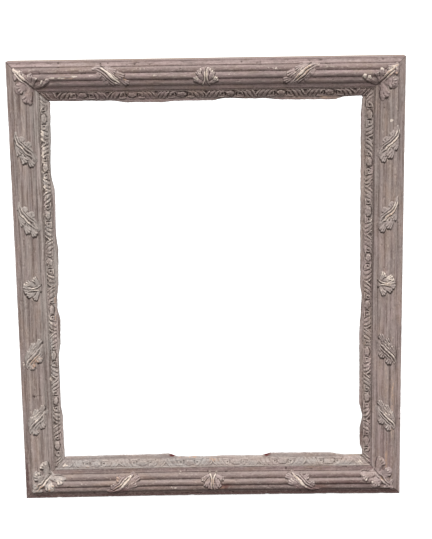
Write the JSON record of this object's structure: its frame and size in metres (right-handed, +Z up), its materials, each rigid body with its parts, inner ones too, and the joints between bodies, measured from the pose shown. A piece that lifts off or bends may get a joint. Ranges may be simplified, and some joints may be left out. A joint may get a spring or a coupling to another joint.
{
  "type": "carved picture frame",
  "caption": "Upright carved and reeded wooden picture frame with leaf straps, a rebate for a stretched picture, turn buttons and two hanging rings behind.",
  "frame": {"origin": "middle of the frame's width and depth, on the surface that its bottom edge stands on", "axes": "+X to the right seen from the front, +Y to the back (the front faces -Y), +Z up"},
  "size_m": [0.945, 0.0674, 1.097],
  "materials": {
    "painted_wood": "worn matt paint over carved wood",
    "carved_paint": "worn matt paint over fine carving",
    "leaf_paint": "worn pale paint over carved leaves",
    "bare_wood": "bare old softwood",
    "steel": "dull steel",
    "brass": "tarnished brass"
  },
  "bodies": {
    "frame": {"reeded_moulding_bottom": "painted_wood", "reeded_moulding_left": "painted_wood", "reeded_moulding_top": "painted_wood", "reeded_moulding_right": "painted_wood", "sight_moulding_bottom": "carved_paint", "sight_moulding_left": "carved_paint", "sight_moulding_top": "carved_paint", "sight_moulding_right": "carved_paint", "back_rail_bottom": "bare_wood", "back_stile_left": "bare_wood", "back_rail_top": "bare_wood", "back_stile_right": "bare_wood", "centre_leaf_bottom": "leaf_paint", "centre_leaf_left": "leaf_paint", "centre_leaf_top": "leaf_paint", "centre_leaf_right": "leaf_paint", "diagonal_leaf_bottom_left": "leaf_paint", "diagonal_leaf_bottom_right": "leaf_paint", "diagonal_leaf_top_left": "leaf_paint", "diagonal_leaf_top_right": "leaf_paint", "diagonal_leaf_left_1": "leaf_paint", "diagonal_leaf_left_2": "leaf_paint", "diagonal_leaf_left_3": "leaf_paint", "diagonal_leaf_left_4": "leaf_paint", "diagonal_leaf_right_1": "leaf_paint", "diagonal_leaf_right_2": "leaf_paint", "diagonal_leaf_right_3": "leaf_paint", "diagonal_leaf_right_4": "leaf_paint", "corner_leaf_bottom_left": "leaf_paint", "corner_leaf_bottom_right": "leaf_paint", "corner_leaf_top_left": "leaf_paint", "corner_leaf_top_right": "leaf_paint", "corner_pegs": "bare_wood", "moulding_screws": "steel", "sight_nails": "carved_paint", "turn_button_screws": "brass", "hanger_strap_left": "brass", "hanger_strap_right": "brass", "hanger_screws": "brass"},
    "turn_button_1": {"turn_button_1": "brass"},
    "turn_button_2": {"turn_button_2": "brass"},
    "turn_button_3": {"turn_button_3": "brass"},
    "turn_button_4": {"turn_button_4": "brass"},
    "turn_button_5": {"turn_button_5": "brass"},
    "turn_button_6": {"turn_button_6": "brass"},
    "turn_button_7": {"turn_button_7": "brass"},
    "turn_button_8": {"turn_button_8": "brass"},
    "hanging_ring_left": {"hanging_ring_left": "brass"},
    "hanging_ring_right": {"hanging_ring_right": "brass"}
  },
  "joints": [
    {"name": "turn_button_1_turn", "type": "hinge", "parent": "frame", "child": "turn_button_1", "pos_m": [-0.25, 0.02873, 0.0755], "axis": [0, 1, 0], "continuous": true},
    {"name": "turn_button_2_turn", "type": "hinge", "parent": "frame", "child": "turn_button_2", "pos_m": [0.25, 0.02873, 0.0755], "axis": [0, 1, 0], "continuous": true},
    {"name": "turn_button_3_turn", "type": "hinge", "parent": "frame", "child": "turn_button_3", "pos_m": [-0.397, 0.02873, 0.7985], "axis": [0, 1, 0], "continuous": true},
    {"name": "turn_button_4_turn", "type": "hinge", "parent": "frame", "child": "turn_button_4", "pos_m": [-0.397, 0.02873, 0.2985], "axis": [0, 1, 0], "continuous": true},
    {"name": "turn_button_5_turn", "type": "hinge", "parent": "frame", "child": "turn_button_5", "pos_m": [0.25, 0.02873, 1.0215], "axis": [0, 1, 0], "continuous": true},
    {"name": "turn_button_6_turn", "type": "hinge", "parent": "frame", "child": "turn_button_6", "pos_m": [-0.25, 0.02873, 1.0215], "axis": [0, 1, 0], "continuous": true},
    {"name": "turn_button_7_turn", "type": "hinge", "parent": "frame", "child": "turn_button_7", "pos_m": [0.397, 0.02873, 0.2985], "axis": [0, 1, 0], "continuous": true},
    {"name": "turn_button_8_turn", "type": "hinge", "parent": "frame", "child": "turn_button_8", "pos_m": [0.397, 0.02873, 0.7985], "axis": [0, 1, 0], "continuous": true},
    {"name": "hanging_ring_left_swing", "type": "hinge", "parent": "frame", "child": "hanging_ring_left", "pos_m": [-0.4345, 0.03068, 0.867], "axis": [1, 0, 0], "range_deg": [0, 180]},
    {"name": "hanging_ring_right_swing", "type": "hinge", "parent": "frame", "child": "hanging_ring_right", "pos_m": [0.4345, 0.03068, 0.867], "axis": [1, 0, 0], "range_deg": [0, 180]}
  ]
}
